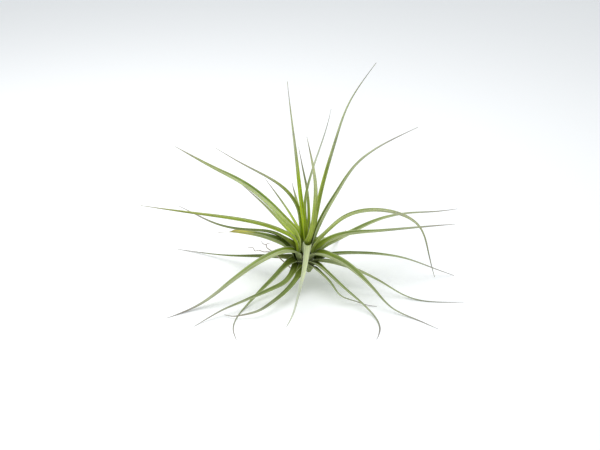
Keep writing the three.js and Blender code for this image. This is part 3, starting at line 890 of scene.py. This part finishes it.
@dataclass(frozen=True)
class RootStrand:
    """One wiry strand of root.

    Attributes:
        name: Its name.
        points: What it runs through, in millimetres from the stem's axis.
        radius: Its radius.
        end_radius: Its radius at the end.
        thinning: Shares of its length over which it gets that thin.
        bumps: Spread of its girth as a share.
        sides: Points round it.
        steps: Rings from one point to the next.
    """

    name: str
    points: tuple[tuple[float, float, float], ...]
    radius: float = 0.38
    end_radius: float = 0.22
    thinning: tuple[float, float] = (0.35, 1.0)
    bumps: float = 0.05
    sides: int = 12
    steps: int = 9

    def path(self) -> Array:
        """Draws a smooth centripetal line through the points.

        Returns:
            Points close together along it.
        """
        p = np.array(self.points)
        p = np.vstack([2 * p[0] - p[1], p, 2 * p[-1] - p[-2]])
        found = []
        for i in range(1, len(p) - 2):
            around = p[i - 1:i + 3]
            gaps = np.linalg.norm(np.diff(around, axis=0), axis=1) ** 0.5
            knots = np.concatenate([[0], np.cumsum(gaps)])
            for t in np.linspace(knots[1], knots[2], self.steps, endpoint=False):
                found.append(self.blend(around, knots, t))
        return np.vstack(found + [p[-2]])

    @staticmethod
    def blend(around: Array, knots: Array, t: float) -> Array:
        """Finds a point between the middle two of four points.

        Args:
            around: The four points.
            knots: Where the line passes them.
            t: Where it passes the point.

        Returns:
            The point.
        """

        def between(low: int, high: int, start: Array, end: Array) -> Array:
            """Goes from start to end between two knots."""
            return lerp(start, end, (t - knots[low]) / (knots[high] - knots[low]))

        first, second, third = (between(k, k + 1, around[k], around[k + 1]) for k in range(3))
        return between(1, 2, between(0, 2, first, second), between(1, 3, second, third))

    def build(self, axis: tuple[float, float], material: bpy.types.Material, seed: int) -> bpy.types.Object:
        """Makes the strand and puts it in the place of the CAD node of the roots.

        Args:
            axis: The stem's axis in metres.
            material: Its finish.
            seed: Seed of its small bumps.

        Returns:
            The piece.
        """
        path = self.path()
        ahead = np.gradient(path, axis=0)
        ahead /= np.linalg.norm(ahead, axis=1)[:, None]
        up = np.array([0.0, 1.0, 0.0])
        rings = []
        angle = np.linspace(0, 2 * math.pi, self.sides, endpoint=False)
        thinned = smooth(np.linspace(0, 1, len(path)), *self.thinning)
        girth = lerp(self.radius, self.end_radius, thinned)
        girth = girth * (1 + np.random.default_rng(seed).normal(0, self.bumps, len(path)))
        for centre, direction, size in zip(path, ahead, girth):
            up = up - direction * (up @ direction)
            up = up / np.linalg.norm(up)
            across = np.cross(direction, up)
            rings.append(centre + size * (np.cos(angle)[:, None] * across + np.sin(angle)[:, None] * up))
        points = np.vstack(rings + [path[:1], path[-1:]]) * MM + np.array([axis[0], axis[1], 0.0])
        piece = make_piece(self.name, points, ring_faces(len(path), self.sides), material)
        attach(piece, "root")
        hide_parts("roots")
        return piece


ROOTS: tuple[RootStrand, ...] = (
    RootStrand("root_trunk", ((-2.5, 0, 8.2), (-6, -0.2, 8.2), (-9.5, -0.4, 9.7), (-14, -0.8, 14.5),
                              (-18.5, -1, 19), (-23.3, -1.2, 22.8), (-25.6, -1.5, 23.5), (-28.4, -1.2, 23.3),
                              (-32, -1.5, 24.7), (-34.4, -1, 23.9), (-35.7, -1.5, 26.6), (-39, -1, 26.8))),
    RootStrand("root_fork", ((-18.5, -1, 19), (-21.8, -0.6, 22.2), (-24.2, -1, 24.6), (-26.2, -1, 26.2),
                             (-26.9, -1, 28.5), (-29, -1, 29.5), (-29.8, -1, 31.2)), 0.34),
    RootStrand("root_twig", ((-26.9, -1, 28.5), (-26, -1.4, 29.6), (-24.4, -1.6, 30.2)), 0.27, 0.18),
)


class Nodes:
    """Adds nodes to one shader tree and wires them."""

    SPAN_PORTS = ("Value", "From Min", "From Max", "To Min", "To Max")

    def __init__(self, tree: bpy.types.NodeTree) -> None:
        """Works on the tree."""
        self.tree = tree

    def add(self, kind: str, inputs: dict[Any, Any] | None = None, **settings: Any) -> bpy.types.Node:
        """Adds a node.

        Args:
            kind: The node's type.
            inputs: A value or another node's output for each input, by name or number.
            **settings: The node's own options.

        Returns:
            The node.
        """
        node = self.tree.nodes.new(kind)
        for name, value in settings.items():
            setattr(node, name, value)
        for key, value in (inputs or {}).items():
            if isinstance(value, Socket):
                self.tree.links.new(value, node.inputs[key])
            else:
                node.inputs[key].default_value = value
        return node

    def math(self, operation: str, *values: Any) -> Socket:
        """The result of a sum on one or more values."""
        return self.add("ShaderNodeMath", dict(enumerate(values)), operation=operation).outputs[0]

    def times(self, a: Any, b: Any) -> Socket:
        """The product of a and b."""
        return self.math("MULTIPLY", a, b)

    def plus(self, a: Any, b: Any) -> Socket:
        """The sum of a and b."""
        return self.math("ADD", a, b)

    def minus(self, a: Any, b: Any) -> Socket:
        """What is left of a without b."""
        return self.math("SUBTRACT", a, b)

    def swing(self, value: Any, size: Any) -> Socket:
        """Goes from minus to plus half of the size as the value goes from 0 to 1."""
        return self.times(self.minus(value, 0.5), size)

    def span(self, value: Any, limits: tuple[float, float], start: Any = 0.0, end: Any = 1.0) -> Socket:
        """Goes smoothly from start to end as the value goes from the first limit to the second."""
        inputs = dict(zip(self.SPAN_PORTS, (value, *limits, start, end)))
        return self.add("ShaderNodeMapRange", inputs, interpolation_type="SMOOTHSTEP").outputs[0]

    def mix(self, share: Any, a: Any, b: Any) -> Socket:
        """A colour between a and b."""
        return self.add("ShaderNodeMix", {0: share, 6: a, 7: b}, data_type="RGBA").outputs[2]

    def vector(self, x: Any, y: Any, z: Any) -> Socket:
        """A vector from three values."""
        return self.add("ShaderNodeCombineXYZ", {0: x, 1: y, 2: z}).outputs[0]

    def noise(self, vector: Any, scale: float, detail: float) -> Socket:
        """Soft noise from 0 to 1."""
        inputs = {"Vector": vector, "Scale": scale, "Detail": detail}
        return self.add("ShaderNodeTexNoise", inputs).outputs["Fac"]

    def mark(self, name: str) -> Socket:
        """A value written on the mesh's points."""
        return self.add("ShaderNodeAttribute", attribute_name=name).outputs["Fac"]


def bare_material(name: str) -> tuple[bpy.types.Material, Nodes]:
    """Makes a material that has no nodes yet.

    Args:
        name: Its name.

    Returns:
        The material, and what adds nodes to it.
    """
    material = bpy.data.materials.new(name)
    material.use_nodes = True
    material.node_tree.nodes.clear()
    return material, Nodes(material.node_tree)


FLOAT, COLOUR, VECTOR = "NodeSocketFloat", "NodeSocketColor", "NodeSocketVector"
GREY: Colour = (0.5, 0.5, 0.5, 1.0)
Sockets = dict[str, Any]


def make_group(name: str, inputs: dict[str, Any], outputs: dict[str, str],
               build: Callable[[Nodes, Sockets], Sockets]) -> bpy.types.NodeTree:
    """Makes a shader node group.

    Args:
        name: Its name.
        inputs: Default of each input: a number, a colour of four values or a place of three.
        outputs: Socket type of each output.
        build: Adds the nodes, given the inputs' sockets, and returns the outputs' sockets.

    Returns:
        The group.
    """
    tree = bpy.data.node_groups.new(name, "ShaderNodeTree")
    for port, value in inputs.items():
        kind = FLOAT if isinstance(value, float) else {3: VECTOR, 4: COLOUR}[len(value)]
        tree.interface.new_socket(port, in_out="INPUT", socket_type=kind).default_value = value
    for port, kind in outputs.items():
        tree.interface.new_socket(port, in_out="OUTPUT", socket_type=kind)
    nodes = Nodes(tree)
    source = nodes.add("NodeGroupInput")
    results = build(nodes, {port: source.outputs[port] for port in inputs})
    nodes.add("NodeGroupOutput", results)
    return tree


# Ports of the leaves' node groups: what the mesh gives, what the grain gives, and what a finish gives
GRAIN_MARKS = ("Span", "Run", "Tone")
COLOUR_MARKS = ("Across", "Along", "Run", "Face", "Tone")
PATTERNS = ("Stripe", "Scales", "Blotch")
SHADES = ("Base", "Upper", "Under", "Far", "Bloom", "Dry", "Deep")
AMOUNTS = ("Depth", "Base Reach", "Base Outside", "Far Start", "Far End", "Dry Start", "Bloom Strength",
           "Stripe Strength", "Edge Dryness", "Rim")


class LeafEffects:
    """Node groups that all leaf finishes share.

    Edges are the two values between which something comes or goes, and a swing is how far the blotches or
    the veins move it. Lengths are in millimetres, and scales are per millimetre.
    """

    TONE_OFFSET = 37.0
    VEIN_SCALE, VEIN_DETAIL, VEIN_ALONG, VEIN_EDGES = 1.1, 4.0, 0.035, (0.34, 0.66)
    FLAKE_SCALE, FLAKE_RANDOMNESS, FLAKE_EDGES = 3.6, 0.55, (0.5, 0.12)
    FLAKE_ACROSS, FLAKE_ALONG = 1.25, 0.8
    PATCH_SCALE, PATCH_DETAIL, PATCH_EDGES, FEWEST_FLAKES = 0.55, 3.0, (0.25, 0.7), 0.35
    BLOTCH_SCALE, BLOTCH_DETAIL, BLOTCH_ACROSS, BLOTCH_ALONG = 1.0, 4.0, 0.4, 0.12
    VEIN_RELIEF, FLAKE_RELIEF = 0.65, 0.35
    BASE_EDGES, BASE_SWING = (0.25, 1.25), 0.5
    FAR_SWING, LIGHT_SWING, TONE_LIGHT = 0.2, 0.5, 0.05
    RIM_EDGES, INNER_BLOOM = (0.82, 1.0), 0.45
    # Painted shade in the nest: the run over which it fades out, and the share of it that the outer face
    # takes
    DEEP_EDGES, OUTER_DEEP = (5.0, 17.0), 0.55
    DRY_EDGES, DRY_SWING = (-0.08, 0.14), 0.08
    DEAD, DEAD_SHARE, DEAD_EDGES, DEAD_MOST = (0.12, 0.07, 0.035, 1.0), 0.35, (0.35, 0.65), 0.5
    BARE_ROUGHNESS, FLAKE_ROUGHNESS, DRY_ROUGHNESS = 0.42, 0.2, 0.25

    def __init__(self) -> None:
        """Builds the groups."""
        self.grain = make_group("leaf_grain", dict.fromkeys(GRAIN_MARKS, 0.0),
                                dict.fromkeys(PATTERNS + ("Height",), FLOAT), self.build_grain)
        values = dict.fromkeys(COLOUR_MARKS + PATTERNS + AMOUNTS, 0.0) | dict.fromkeys(SHADES, GREY)
        self.colour = make_group("leaf_colour", values, {"Colour": COLOUR, "Roughness": FLOAT},
                                 self.build_colour)

    def build_grain(self, nodes: Nodes, at: Sockets) -> Sockets:
        """Lengthwise veins, rows of tiny scales, and soft blotches.

        Args:
            nodes: Adds nodes to the group.
            at: The group's inputs.

        Returns:
            The group's outputs.
        """
        across, run = at["Span"], at["Run"]
        offset = nodes.times(at["Tone"], self.TONE_OFFSET)
        place = nodes.vector(across, nodes.times(run, self.VEIN_ALONG), offset)
        stripe = nodes.span(nodes.noise(place, self.VEIN_SCALE, self.VEIN_DETAIL), self.VEIN_EDGES)
        wide, long = nodes.times(across, self.FLAKE_ACROSS), nodes.times(run, self.FLAKE_ALONG)
        place = nodes.vector(wide, long, offset)
        inputs = {"Vector": place, "Scale": self.FLAKE_SCALE, "Randomness": self.FLAKE_RANDOMNESS}
        cells = nodes.add("ShaderNodeTexVoronoi", inputs).outputs["Distance"]
        patches = nodes.noise(nodes.vector(across, run, offset), self.PATCH_SCALE, self.PATCH_DETAIL)
        scales = nodes.times(nodes.span(cells, self.FLAKE_EDGES),
                             nodes.span(patches, self.PATCH_EDGES, self.FEWEST_FLAKES))
        wide, long = nodes.times(across, self.BLOTCH_ACROSS), nodes.times(run, self.BLOTCH_ALONG)
        blotch = nodes.noise(nodes.vector(wide, long, offset), self.BLOTCH_SCALE, self.BLOTCH_DETAIL)
        height = nodes.plus(nodes.times(stripe, self.VEIN_RELIEF), nodes.times(scales, self.FLAKE_RELIEF))
        return {"Stripe": stripe, "Scales": scales, "Blotch": blotch, "Height": height}

    def build_colour(self, nodes: Nodes, at: Sockets) -> Sockets:
        """The leaf's colour from nest to tip, inside and out.

        Args:
            nodes: Adds nodes to the group.
            at: The group's inputs.

        Returns:
            The group's outputs.
        """
        face, along, blotch, stripe = at["Face"], at["Along"], at["Blotch"], at["Stripe"]
        colour = nodes.mix(face, at["Under"], at["Upper"])

        near = nodes.math("DIVIDE", at["Run"], at["Base Reach"])
        near = nodes.plus(near, nodes.swing(blotch, self.BASE_SWING))
        outside = nodes.add("ShaderNodeMapRange", {"Value": face, "To Min": at["Base Outside"]}).outputs[0]
        based = nodes.times(nodes.span(near, self.BASE_EDGES, 1.0, 0.0), outside)
        colour = nodes.mix(based, colour, at["Base"])

        outward = nodes.minus(nodes.plus(along, nodes.swing(blotch, self.FAR_SWING)), at["Far Start"])
        outward = nodes.math("DIVIDE", outward, nodes.minus(at["Far End"], at["Far Start"]))
        colour = nodes.mix(nodes.span(outward, (0.0, 1.0)), colour, at["Far"])

        light = nodes.plus(nodes.swing(stripe, at["Stripe Strength"]), nodes.swing(blotch, self.LIGHT_SWING))
        light = nodes.plus(light, nodes.times(at["Tone"], self.TONE_LIGHT))
        inputs = {"Color": colour, "Value": nodes.plus(1.0, light)}
        colour = nodes.add("ShaderNodeHueSaturation", inputs).outputs[0]

        rim = nodes.span(nodes.math("ABSOLUTE", at["Across"]), self.RIM_EDGES)
        colour = nodes.mix(nodes.times(rim, at["Rim"]), colour, at["Bloom"])
        scaly = nodes.times(at["Scales"], at["Bloom Strength"])
        bloom = nodes.times(scaly, nodes.span(face, (0.0, 1.0), 1.0, self.INNER_BLOOM))
        colour = nodes.mix(bloom, colour, at["Bloom"])

        # Painted shade: darkens the leaf towards its root, where the sheaths shade one another, less on the
        # outer face
        depth = nodes.times(nodes.span(at["Run"], self.DEEP_EDGES, 1.0, 0.0), at["Depth"])
        depth = nodes.times(depth, nodes.span(face, (0.0, 1.0), self.OUTER_DEEP, 1.0))
        colour = nodes.mix(depth, colour, at["Deep"])

        margin = nodes.times(nodes.times(at["Across"], at["Across"]), at["Edge Dryness"])
        end = nodes.plus(nodes.plus(along, nodes.swing(stripe, self.DRY_SWING)), margin)
        dryness = nodes.span(nodes.minus(end, at["Dry Start"]), self.DRY_EDGES)
        dead = nodes.mix(self.DEAD_SHARE, at["Dry"], self.DEAD)
        dried = nodes.mix(nodes.span(blotch, self.DEAD_EDGES, 0.0, self.DEAD_MOST), at["Dry"], dead)
        colour = nodes.mix(dryness, colour, dried)

        roughness = nodes.plus(nodes.times(at["Scales"], self.FLAKE_ROUGHNESS), self.BARE_ROUGHNESS)
        roughness = nodes.plus(roughness, nodes.times(dryness, self.DRY_ROUGHNESS))
        return {"Colour": colour, "Roughness": roughness}


# What all leaf surfaces share
LEAF_SURFACE: dict[str, Any] = {
    "IOR": 1.42,
    "Specular IOR Level": 0.18,
    "Subsurface Radius": (1.0, 1.1, 0.4),
    "Subsurface Scale": 0.0014,
    "Sheen Weight": 0.03,
    "Sheen Roughness": 0.5,
}
LEAF_BUMP: dict[str, float] = {"Strength": 0.5, "Distance": 0.00006}
BARK_BUMP: dict[str, float] = {"Strength": 0.7, "Distance": 0.0002}


@dataclass(frozen=True)
class LeafLook:
    """Finish of a leaf.

    Attributes:
        base: Colour in the nest.
        upper: Colour of the channel's inner face.
        under: Colour of its outer face.
        far: Colour of the outer part.
        bloom: Colour of the scales and the margins.
        dry: Colour of the dried tip.
        deep: Colour of the painted shade between the sheaths, where they shade one another.
        depth: How much of that painted shade the leaf takes.
        base_reach: Distance over which the colour of the nest fades, in millimetres.
        base_outside: How much of the nest's colour the outer face takes.
        far_start: Share of the length at which the outer part's colour starts.
        far_end: Share of the length at which it is full.
        dry_start: Share of the length at which the tip starts to dry.
        bloom_strength: How much the scales cover.
        stripe_strength: How strongly the veins show.
        edge_dryness: How much earlier the margins dry.
        rim: How pale the margins are.
        glow: Light that passes through the leaf.
    """

    base: Colour
    upper: Colour
    under: Colour
    far: Colour
    bloom: Colour = srgb(214, 220, 190)
    dry: Colour = srgb(158, 152, 144)
    # Dark olive of the painted shade between the sheaths
    deep: Colour = srgb(52, 62, 12)
    depth: float = 0.75
    base_reach: float = 34.0
    base_outside: float = 1.0
    far_start: float = 0.3
    far_end: float = 1.0
    dry_start: float = 0.86
    bloom_strength: float = 0.4
    stripe_strength: float = 0.5
    edge_dryness: float = 0.0
    rim: float = 0.45
    glow: float = 0.12

    def material(self, name: str, effects: LeafEffects) -> bpy.types.Material:
        """Makes the material.

        Args:
            name: Its name.
            effects: The node groups.

        Returns:
            The material.
        """
        material, nodes = bare_material(name)
        marks = {port: nodes.mark(port.lower()) for port in sorted({*GRAIN_MARKS, *COLOUR_MARKS})}
        grain = nodes.add("ShaderNodeGroup", {port: marks[port] for port in GRAIN_MARKS},
                          node_tree=effects.grain)
        inputs = {port: marks[port] for port in COLOUR_MARKS}
        inputs |= {port: grain.outputs[port] for port in PATTERNS}
        inputs |= {port: getattr(self, port.lower().replace(" ", "_")) for port in SHADES + AMOUNTS}
        colour = nodes.add("ShaderNodeGroup", inputs, node_tree=effects.colour)
        bump = nodes.add("ShaderNodeBump", {"Height": grain.outputs["Height"]} | LEAF_BUMP)
        surface = nodes.add("ShaderNodeBsdfPrincipled", {
            "Base Color": colour.outputs["Colour"], "Roughness": colour.outputs["Roughness"],
            "Normal": bump.outputs["Normal"], "Subsurface Weight": self.glow} | LEAF_SURFACE)
        nodes.add("ShaderNodeOutputMaterial", {"Surface": surface.outputs[0]})
        return material


LOOKS: dict[str, LeafLook] = {
    "heart": LeafLook(srgb(186, 208, 30), srgb(178, 200, 40), srgb(140, 158, 42), srgb(178, 182, 154),
                      base_reach=60, depth=0.2, far_start=0.42, far_end=0.66, bloom_strength=0.12, rim=0.25,
                      glow=0.5),
    "heart_pale": LeafLook(srgb(166, 182, 70), srgb(144, 164, 58), srgb(162, 176, 90), srgb(180, 184, 146),
                           base_reach=44, depth=0.3, far_start=0.4, far_end=0.7, dry_start=0.84,
                           bloom_strength=0.15, rim=0.3, glow=0.45),
    "heart_tall": LeafLook(srgb(166, 186, 28), srgb(160, 180, 36), srgb(142, 158, 62), srgb(176, 182, 154),
                           dry=srgb(118, 120, 108), base_reach=46, base_outside=0.75, depth=0.2,
                           far_start=0.4, far_end=0.66, dry_start=0.8, bloom_strength=0.15, rim=0.25,
                           glow=0.45),
    "olive": LeafLook(srgb(190, 212, 40), srgb(130, 146, 54), srgb(134, 146, 84), srgb(138, 140, 112),
                      base_reach=30, depth=0.3, far_start=0.34, far_end=0.66, dry_start=0.74,
                      bloom_strength=0.2, rim=0.3, glow=0.4),
    "banded": LeafLook(srgb(184, 206, 44), srgb(110, 136, 50), srgb(188, 200, 146), srgb(160, 168, 116),
                       base_reach=42, base_outside=0.85, depth=0.25, far_start=0.5, far_end=0.8,
                       bloom_strength=0.25, rim=0.4, glow=0.35),
    "thin_pale": LeafLook(srgb(186, 208, 44), srgb(170, 184, 122), srgb(192, 200, 152), srgb(198, 202, 186),
                          dry=srgb(190, 190, 188), base_reach=36, depth=0.25, far_start=0.4, far_end=0.7,
                          dry_start=0.8, bloom_strength=0.25),
    "bright": LeafLook(srgb(172, 194, 26), srgb(118, 140, 30), srgb(152, 168, 66), srgb(136, 144, 62),
                       base_reach=40, base_outside=0.7, depth=0.3, far_start=0.4, far_end=0.75,
                       bloom_strength=0.2, rim=0.4, glow=0.45),
    "sage": LeafLook(srgb(168, 188, 40), srgb(136, 156, 64), srgb(176, 188, 124), srgb(176, 180, 148),
                     dry=srgb(126, 124, 112), base_reach=36, base_outside=0.6, depth=0.3, far_start=0.3,
                     far_end=0.62, dry_start=0.76, bloom_strength=0.25, rim=0.45, glow=0.35),
    "arching": LeafLook(srgb(136, 158, 26), srgb(136, 154, 82), srgb(192, 202, 148), srgb(166, 170, 144),
                        base_reach=26, base_outside=0.25, depth=0.45, far_start=0.34, far_end=0.8,
                        dry_start=0.78),
    "silvery": LeafLook(srgb(200, 210, 160), srgb(208, 216, 170), srgb(198, 206, 162), srgb(202, 208, 190),
                        srgb(224, 230, 206), base_reach=20, far_start=0.3, far_end=0.6, dry_start=0.97,
                        bloom_strength=0.5, depth=0.0, stripe_strength=0.3),
    "thin": LeafLook(srgb(184, 206, 44), srgb(156, 170, 96), srgb(178, 188, 130), srgb(136, 140, 108),
                     base_reach=36, depth=0.25, far_start=0.4, far_end=0.8, dry_start=0.78,
                     bloom_strength=0.25),
    "shaded": LeafLook(srgb(110, 120, 22), srgb(96, 112, 34), srgb(104, 118, 44), srgb(130, 134, 98),
                       base_reach=22, base_outside=0.5, depth=0.5, far_start=0.5, far_end=0.85,
                       dry_start=0.76, bloom_strength=0.25, rim=0.3),
    "lower": LeafLook(srgb(114, 130, 24), srgb(124, 142, 72), srgb(176, 186, 136), srgb(158, 162, 136),
                      base_reach=20, base_outside=0.4, depth=0.55, far_start=0.36, far_end=0.8,
                      dry_start=0.78, bloom_strength=0.3),
    "dying": LeafLook(srgb(100, 120, 30), srgb(104, 124, 44), srgb(162, 174, 110), srgb(180, 176, 72),
                      dry=srgb(140, 118, 78), base_reach=24, base_outside=0.4, depth=0.4, far_start=0.5,
                      far_end=0.74, dry_start=0.84, edge_dryness=0.07),
}


@dataclass(frozen=True)
class BarkLook:
    """Finish of the stem and the roots: a dull bark of two colours.

    Attributes:
        light: The paler colour.
        dark: The darker colour.
        scale: Scale of the mottles, per metre.
        roughness: Its roughness.
    """

    light: Colour
    dark: Colour
    scale: float
    roughness: float = 0.85

    def material(self, name: str, bark: bpy.types.NodeTree) -> bpy.types.Material:
        """Makes the material.

        Args:
            name: Its name.
            bark: The node group.

        Returns:
            The material.
        """
        material, nodes = bare_material(name)
        place = nodes.add("ShaderNodeTexCoord").outputs["Object"]
        inputs = {"Place": place, "Light": self.light, "Dark": self.dark, "Scale": self.scale}
        group = nodes.add("ShaderNodeGroup", inputs, node_tree=bark)
        bump = nodes.add("ShaderNodeBump", {"Height": group.outputs["Height"]} | BARK_BUMP)
        surface = nodes.add("ShaderNodeBsdfPrincipled", {
            "Base Color": group.outputs["Colour"], "Roughness": self.roughness,
            "Normal": bump.outputs["Normal"]})
        nodes.add("ShaderNodeOutputMaterial", {"Surface": surface.outputs[0]})
        return material


def build_bark(nodes: Nodes, at: Sockets) -> Sockets:
    """Mottled fibres for the stem and the roots.

    Args:
        nodes: Adds nodes to the group.
        at: The group's inputs.

    Returns:
        The group's outputs.
    """
    squeeze, detail, unevenness, edges = (1.0, 1.0, 2.2), 5.0, 0.6, (0.35, 0.65)
    place = nodes.add("ShaderNodeMapping", {"Vector": at["Place"], "Scale": squeeze}).outputs[0]
    inputs = {"Vector": place, "Scale": at["Scale"], "Detail": detail, "Roughness": unevenness}
    mottle = nodes.add("ShaderNodeTexNoise", inputs).outputs["Fac"]
    colour = nodes.mix(nodes.span(mottle, edges), at["Dark"], at["Light"])
    return {"Colour": colour, "Height": mottle}


STEM_LOOK = BarkLook(srgb(176, 172, 138), srgb(126, 122, 90), 700.0)
ROOT_LOOK = BarkLook(srgb(212, 196, 190), srgb(158, 138, 132), 1500.0, 0.8)


@dataclass
class Rosette:
    """The whole plant: leaves, stem and roots.

    Attributes:
        nest: The nest of sheaths.
        axis: The stem's axis in metres.
    """

    nest: Nest
    axis: tuple[float, float]

    def build(self) -> list[bpy.types.Object]:
        """Makes every piece of the plant.

        Returns:
            The pieces.
        """
        effects = LeafEffects()
        finishes = {name: look.material(f"{name}_leaf_finish", effects) for name, look in LOOKS.items()}
        radii = self.nest.seat(LEAVES)
        pieces = []
        for number, (form, radius) in enumerate(zip(LEAVES, radii), start=1):
            piece = Leaf(number, form, self.nest, radius, self.axis).build(finishes[form.look])
            LOG.info("%s, %s, %d faces", piece.name, form.look, len(piece.data.polygons))
            pieces.append(piece)
        bark = make_group("bark", {"Place": (0.0, 0.0, 0.0), "Light": GREY, "Dark": GREY, "Scale": 1000.0},
                          {"Colour": COLOUR, "Height": FLOAT}, build_bark)
        stem = Stem(self.nest, self.axis, max(radii)).build(STEM_LOOK.material("stem_finish", bark))
        LOG.info("%s, %d faces", stem.name, len(stem.data.polygons))
        pieces.append(stem)
        finish = ROOT_LOOK.material("root_finish", bark)
        for seed, strand in enumerate(ROOTS, start=ROOT_SEED):
            piece = strand.build(self.axis, finish, seed)
            LOG.info("%s, %d faces", piece.name, len(piece.data.polygons))
            pieces.append(piece)
        return pieces


@dataclass(frozen=True)
class Studio:
    """Floor, light and camera, in metres.

    Attributes:
        floor_side: Side of the floor.
        camera_distance: Distance from the camera to its aim.
        camera_elevation: Angle of the camera above the horizon in degrees.
        lens: Focal length in millimetres.
        sensor: Width of the camera's frame in millimetres.
        nearest: Least distance that the camera sees.
        aim: What the camera looks at, from the stem's axis.
        sky_strength: Strength of the light from all round.
        floor_glow: Strength of the light that comes through the floor.
        lamp_power: Power of the soft lamp in watts.
        lamp_side: Side of the soft lamp.
        lamp_place: Place of the soft lamp from the stem's foot.
        white: Colour of the light.
        floor_light: Colour of the light that comes through the floor.
        floor_colour: Colour of the floor.
        floor_roughness: Its roughness.
        floor_shine: Its specular level.
    """

    floor_side: float = 40.0
    camera_distance: float = 0.65
    camera_elevation: float = 27.0
    lens: float = 58.5
    sensor: float = 36.0
    nearest: float = 0.01
    aim: tuple[float, float, float] = (-0.004, 0.0, 0.043)
    sky_strength: float = 0.57
    floor_glow: float = 0.18
    lamp_power: float = 2.6
    lamp_side: float = 0.7
    lamp_place: tuple[float, float, float] = (-0.15, 0.08, 0.56)
    white: Colour = (0.955, 0.985, 1.0, 1.0)
    floor_light: Colour = (0.86, 0.93, 1.0, 1.0)
    floor_colour: Colour = (0.93, 0.93, 0.93, 1.0)
    floor_roughness: float = 0.6
    floor_shine: float = 0.25

    def build(self, axis: tuple[float, float]) -> None:
        """Makes the floor, the lights and the camera round the plant.

        Args:
            axis: The stem's axis.
        """
        foot = Vector((axis[0], axis[1], 0.0))
        self.build_floor()
        self.build_light(foot)
        self.build_camera(foot)

    def build_floor(self) -> None:
        """Makes a plain pale floor."""
        half = self.floor_side / 2
        corners = [(-half, -half, 0), (half, -half, 0), (half, half, 0), (-half, half, 0)]
        mesh = bpy.data.meshes.new("floor")
        mesh.from_pydata(corners, [], [(0, 1, 2, 3)])
        floor = bpy.data.objects.new("floor", mesh)
        bpy.context.scene.collection.objects.link(floor)
        material = bpy.data.materials.new("floor_finish")
        material.use_nodes = True
        values = {"Base Color": self.floor_colour, "Roughness": self.floor_roughness,
                  "Specular IOR Level": self.floor_shine, "Emission Color": self.floor_light,
                  "Emission Strength": self.floor_glow}
        for port, value in values.items():
            material.node_tree.nodes["Principled BSDF"].inputs[port].default_value = value
        mesh.materials.append(material)

    def build_light(self, foot: Vector) -> None:
        """Makes soft light from all round and one large lamp at the back left.

        Args:
            foot: Where the stem's axis meets the floor.
        """
        world = bpy.data.worlds.new("studio")
        world.use_nodes = True
        background = world.node_tree.nodes["Background"]
        background.inputs["Color"].default_value = self.white
        background.inputs["Strength"].default_value = self.sky_strength
        bpy.context.scene.world = world
        light = bpy.data.lights.new("soft_lamp", "AREA")
        light.shape = "DISK"
        light.size = self.lamp_side
        light.energy = self.lamp_power
        lamp = bpy.data.objects.new("soft_lamp", light)
        lamp.location = foot + Vector(self.lamp_place)
        lamp.rotation_euler = (foot - lamp.location).to_track_quat("-Z", "Y").to_euler()
        lamp.visible_camera = False
        bpy.context.scene.collection.objects.link(lamp)

    def build_camera(self, foot: Vector) -> None:
        """Makes a camera in front of the plant that looks down on it.

        Args:
            foot: Where the stem's axis meets the floor.
        """
        data = bpy.data.cameras.new("camera")
        data.sensor_width = self.sensor
        data.lens = self.lens
        data.clip_start = self.nearest
        camera = bpy.data.objects.new("camera", data)
        down = math.radians(self.camera_elevation)
        back = Vector((0.0, -math.cos(down), math.sin(down))) * self.camera_distance
        camera.location = foot + Vector(self.aim) + back
        camera.rotation_euler = (math.pi / 2 - down, 0.0, 0.0)
        bpy.context.scene.collection.objects.link(camera)
        bpy.context.scene.camera = camera


def main() -> None:
    """Builds the studio and the plant."""
    logging.basicConfig(level=logging.INFO, format="%(name)s: %(message)s")
    low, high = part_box("stem")
    axis = ((low.x + high.x) / 2, (low.y + high.y) / 2)
    Studio().build(axis)
    pieces = Rosette(Nest(), axis).build()
    LOG.info("%d pieces", len(pieces))
    bpy.context.scene.view_settings.view_transform = "Standard"


if __name__ == "__main__":
    main()
